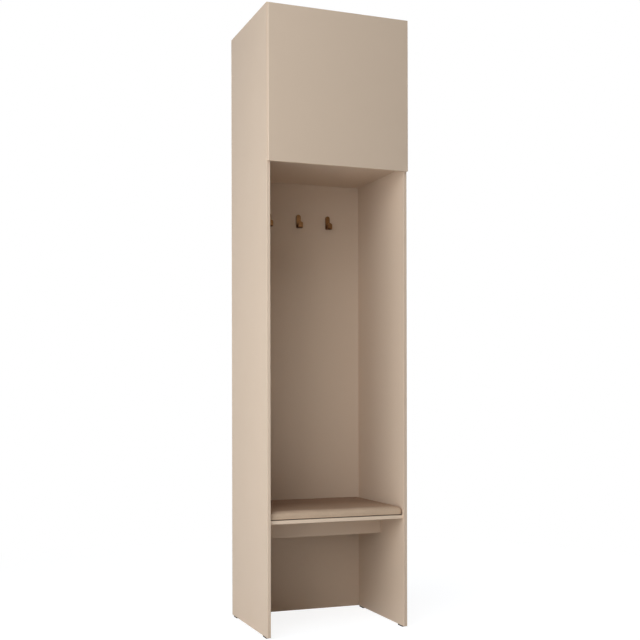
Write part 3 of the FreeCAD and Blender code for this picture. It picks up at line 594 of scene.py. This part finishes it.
# Studio: pale floor, white surround, soft light, camera where the photograph was taken
studio = {
    "cameraPlace": (-1.5875, -4.1693, 0.9556),
    "cameraTurn": -20.96,
    "cameraTilt": 0.103,    # the photograph leans a little
    "lens": 59.89,
    "sensor": 36.0,
    "shiftUp": 0.1155,
    "ambient": (1.0, 0.99, 0.97, 1.0),
    "ambientStrength": 0.02,
    "floorSize": 40.0,
    "floorBounce": tone(244, 242, 239),
    "floorSeen": tone(150, 149, 148),
    "floorGlow": 0.86,      # share of white that the floor shows by itself
    "floorRoughness": 0.9,
    "shadowNear": 0.9,      # the floor shows its shading up to here, then fades to white
    "shadowFar": 2.6,
    "aim": (0.0, -0.1, 1.3),
    "lightColor": (0.885, 0.988, 1.1),
}
softboxes = {  # turn: degrees round from the front, away: metres from the middle
    "frontBox": {"turn": -25, "away": 4.8, "height": 1.4, "size": (1.8, 2.7), "power": 25.0},
    "keyBox": {"turn": -45, "away": 4.8, "height": 1.4, "size": (1.8, 2.7), "power": 43.0},
    "upperBox": {"turn": -45, "away": 4.8, "height": 2.4, "size": (1.8, 2.0), "power": 23.0},
    "sideBox": {"turn": -70, "away": 2.9, "height": 1.3, "size": (1.4, 2.4), "power": 53.0},
    "highBox": {"turn": -40, "away": 4.0, "height": 3.4, "size": (1.8, 1.2), "power": 29.0},
    "topBox": {"turn": -13, "away": 2.7, "height": 4.6, "size": (2.0, 2.0), "power": 41.0},
    "rightBox": {"turn": 115, "away": 3.8, "height": 1.4, "size": (1.4, 2.4), "power": 55.0},
    "backBox": {"turn": 172, "away": 4.2, "height": 1.4, "size": (1.8, 2.4), "power": 34.0},
    "overBox": {"turn": 0, "away": 0.0, "height": 4.2, "size": (0.5, 0.4), "power": 11.0},
}


def seenRays(tree):  # camera, mirror and glass rays see the white surround
    path = addNode(tree, "ShaderNodeLightPath").outputs
    first = calc(tree, "MAXIMUM", path["Is Camera Ray"], path["Is Glossy Ray"])
    return calc(tree, "MAXIMUM", first, path["Is Transmission Ray"])


def makeFloor():
    deselectAll()
    bpy.ops.mesh.primitive_plane_add(size=studio["floorSize"])
    floor = bpy.context.object
    floor.name = "floor"
    material, tree, shader = newMaterial("paleFloor")
    seen = seenRays(tree)
    place = addNode(tree, "ShaderNodeTexCoord").outputs["Object"]
    away = addNode(tree, "ShaderNodeVectorMath", {0: place}, operation="LENGTH").outputs["Value"]
    fade = remap(tree, away, studio["shadowNear"], studio["shadowFar"], 0.0, 1.0)
    shown = mixColor(tree, fade, studio["floorSeen"], (0, 0, 0, 1))
    tree.links.new(mixColor(tree, seen, studio["floorBounce"], shown), shader.inputs["Base Color"])
    shader.inputs["Roughness"].default_value = studio["floorRoughness"]
    shader.inputs["Specular IOR Level"].default_value = 0.0
    shader.inputs["Emission Color"].default_value = (1, 1, 1, 1)
    glow = remap(tree, fade, 0.0, 1.0, studio["floorGlow"], 1.0)
    tree.links.new(calc(tree, "MULTIPLY", seen, glow), shader.inputs["Emission Strength"])
    floor.data.materials.append(material)


def makeSurround():
    world = bpy.data.worlds.new("studioWorld")
    bpy.context.scene.world = world
    world.use_nodes = True
    tree = world.node_tree
    light = tree.nodes["Background"]
    seen = seenRays(tree)
    tree.links.new(mixColor(tree, seen, studio["ambient"], (1, 1, 1, 1)), light.inputs["Color"])
    tree.links.new(remap(tree, seen, 0.0, 1.0, studio["ambientStrength"], 1.0), light.inputs["Strength"])


def addSoftbox(name, box):
    light = bpy.data.lights.new(name, "AREA")
    light.shape = "RECTANGLE"
    light.size, light.size_y = box["size"]
    light.energy = box["power"]
    light.color = studio["lightColor"]
    lamp = bpy.data.objects.new(name, light)
    bpy.context.scene.collection.objects.link(lamp)
    turn = math.radians(box["turn"])
    lamp.location = (box["away"] * math.sin(turn), -box["away"] * math.cos(turn), box["height"])
    lamp.rotation_euler = (Vector(studio["aim"]) - lamp.location).to_track_quat("-Z", "Y").to_euler()
    lamp.visible_camera = False


def addCamera():
    lens = bpy.data.cameras.new("photoCamera")
    lens.lens = studio["lens"]
    lens.sensor_width = studio["sensor"]
    lens.shift_y = studio["shiftUp"]
    camera = bpy.data.objects.new("photoCamera", lens)
    bpy.context.scene.collection.objects.link(camera)
    camera.location = studio["cameraPlace"]
    level = 90.0  # looks at the horizon
    turns = (level, studio["cameraTilt"], studio["cameraTurn"])
    camera.rotation_euler = [math.radians(turn) for turn in turns]
    bpy.context.scene.camera = camera


makeFloor()
makeSurround()
for boxName, box in softboxes.items():
    addSoftbox(boxName, box)
addCamera()
bpy.context.scene.view_settings.view_transform = "Standard"
print("studio set")
